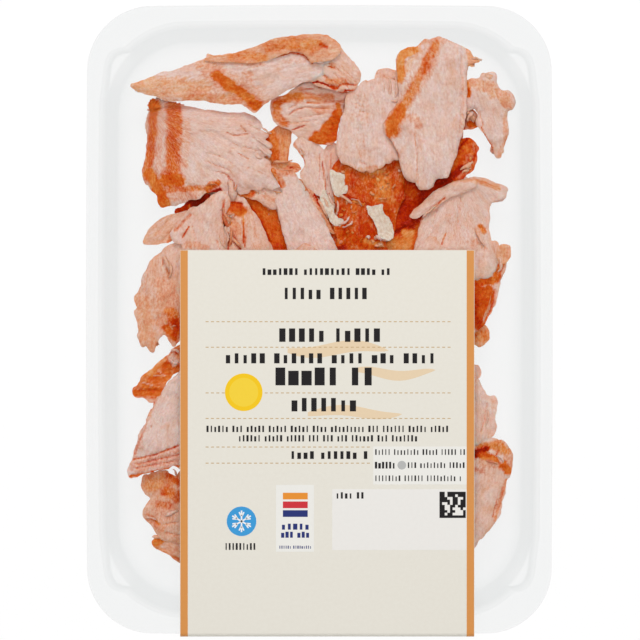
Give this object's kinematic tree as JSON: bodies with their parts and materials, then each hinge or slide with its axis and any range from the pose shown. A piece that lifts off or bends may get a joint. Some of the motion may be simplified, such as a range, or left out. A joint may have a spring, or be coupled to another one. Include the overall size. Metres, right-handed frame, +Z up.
{
  "type": "sealed tray of hot smoked salmon flakes",
  "caption": "Clear plastic food tray of honey roast hot smoked salmon flakes, shut with a clear film and wrapped at one end by a printed label.",
  "frame": {"origin": "centre of the pack's bounding box, on the surface that it rests on", "axes": "+Z up out of the tray's mouth, +Y along the tray's long side and away from the end that the label folds over, +X across it"},
  "size_m": [0.1392, 0.1882, 0.0279],
  "materials": {
    "clear_tray": "clear thermoformed plastic, glossy",
    "clear_film": "clear lidding film, glossy",
    "cream_label": "thin printed card, satin",
    "roast_salmon": "moist cooked fish with a roasted honey glaze"
  },
  "bodies": {
    "root": {"tray": "clear_tray", "lid_film": "clear_film", "label": "cream_label", "salmon_flakes": "roast_salmon"}
  },
  "joints": []
}
